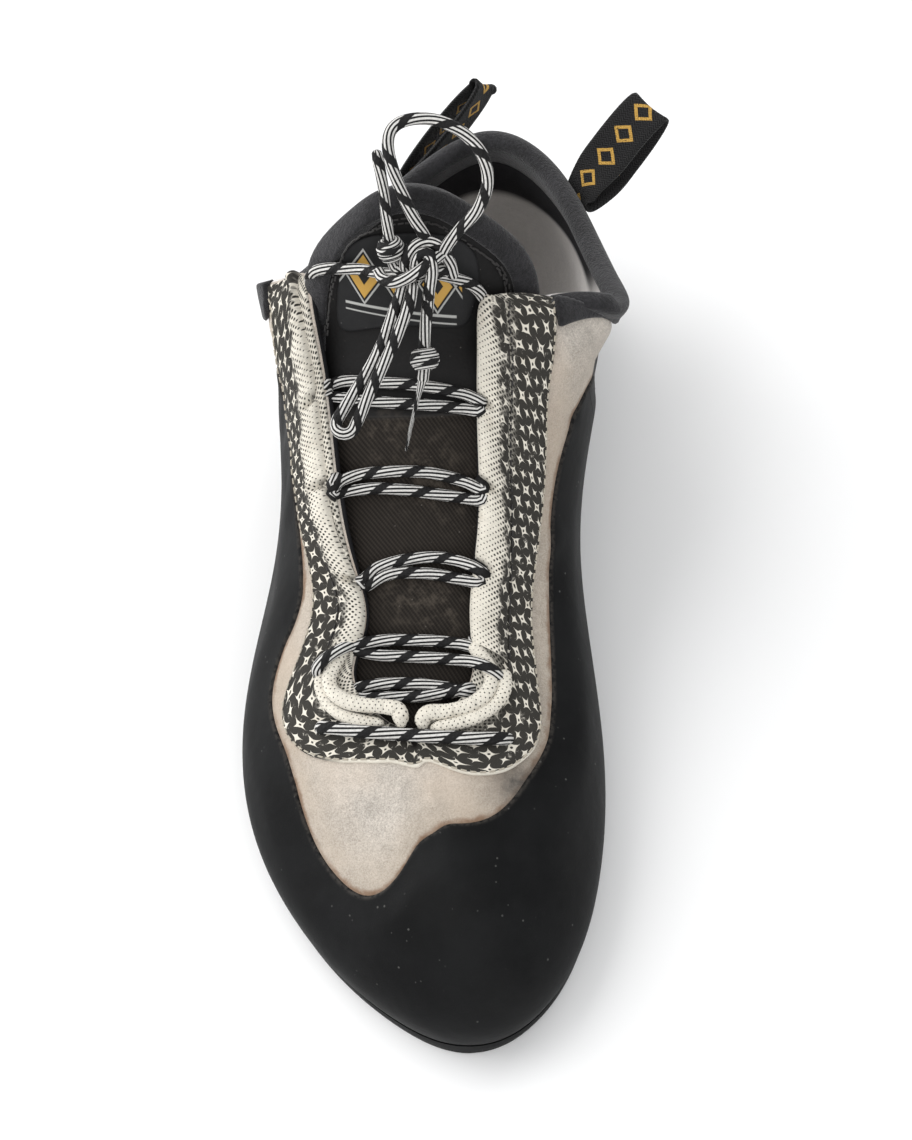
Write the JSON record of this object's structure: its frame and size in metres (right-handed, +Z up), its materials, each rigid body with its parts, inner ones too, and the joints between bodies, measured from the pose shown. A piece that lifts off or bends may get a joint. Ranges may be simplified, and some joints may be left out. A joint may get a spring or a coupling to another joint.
{
  "type": "climbing shoe",
  "caption": "Laced climbing shoe with hollow shaped upper, rubber rands, thin sole, tongue, padded lace tubes and heel pull loops.",
  "frame": {"origin": "middle of the box of the shoe without its free laces, at the floor under the sole", "axes": "+Z up, -Y towards the toe, +X towards the big-toe side of this right shoe"},
  "size_m": [0.108, 0.2599, 0.144],
  "materials": {
    "suede": "matte napped",
    "rubber": "satin",
    "print": "matte, printed",
    "tube": "matte, printed",
    "fleece": "brushed",
    "tongue": "matte mesh",
    "badge": "satin",
    "insole": "matte",
    "webbing": "woven",
    "lace": "braided"
  },
  "bodies": {
    "root": {"outsole": "rubber", "insole": "insole", "upper": "suede", "tongue": "tongue", "tongue_edge": "fleece", "tongue_badge": "badge", "toe_rand": "rubber", "heel_rand": "rubber", "eyestay_overlay": "print", "lace_tube_lateral_1": "tube", "lace_tube_lateral_2": "tube", "lace_tube_lateral_3": "tube", "lace_tube_lateral_4": "tube", "lace_tube_medial_1": "tube", "lace_tube_medial_2": "tube", "lace_tube_medial_3": "tube", "lace_tube_medial_4": "tube", "throat_binding_lateral": "tube", "throat_binding_medial": "tube", "collar_binding": "fleece", "pull_loop_lateral": "webbing", "pull_loop_medial": "webbing", "lace_bar": "lace", "lace_rung_1": "lace", "lace_rung_2": "lace", "lace_rung_3": "lace", "lace_rung_4": "lace", "lace_rung_5": "lace", "lace_top_lateral": "lace", "lace_top_medial": "lace", "lace_knot": "lace", "lace_loop_upper": "lace", "lace_loop_lower": "lace", "lace_end_upper": "lace", "lace_end_lower": "lace", "lace_tip_lower": "lace", "lace_stopper_upper": "lace", "lace_stopper_lower": "lace"}
  },
  "joints": []
}
